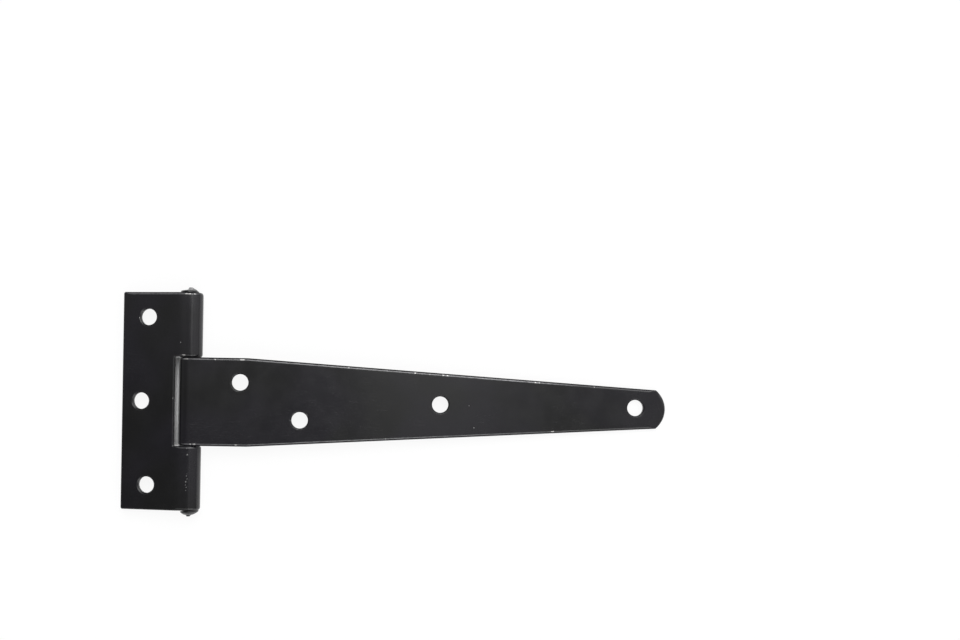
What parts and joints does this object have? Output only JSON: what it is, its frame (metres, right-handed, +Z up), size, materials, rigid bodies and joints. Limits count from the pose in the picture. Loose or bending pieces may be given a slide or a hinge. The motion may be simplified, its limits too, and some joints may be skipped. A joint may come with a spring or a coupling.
{
  "type": "tee hinge",
  "caption": "Tee hinge with a long tapered strap, a short tall cross leaf, rolled knuckles and a riveted pin, in semi-gloss black.",
  "frame": {"origin": "on the axis of the pin, half way along the cross leaf", "axes": "+X along the strap towards its tip, +Y along the pin, +Z up from the table, away from the barrel side"},
  "size_m": [0.2283, 0.0962, 0.0096],
  "materials": {
    "black_paint": "semi-gloss black paint on sheet steel, thin on the punched edges",
    "pin_paint": "black paint on a steel pin, rubbed through to bare steel on the riveted ends"
  },
  "bodies": {
    "strap": {"strap_leaf": "black_paint"},
    "leaf": {"cross_leaf": "black_paint", "hinge_pin": "pin_paint"}
  },
  "joints": [
    {"name": "leaf_swing", "type": "hinge", "parent": "strap", "child": "leaf", "pos_m": [0, 0, 0], "axis": [0, 1, 0], "range_deg": [-180, 108]}
  ]
}
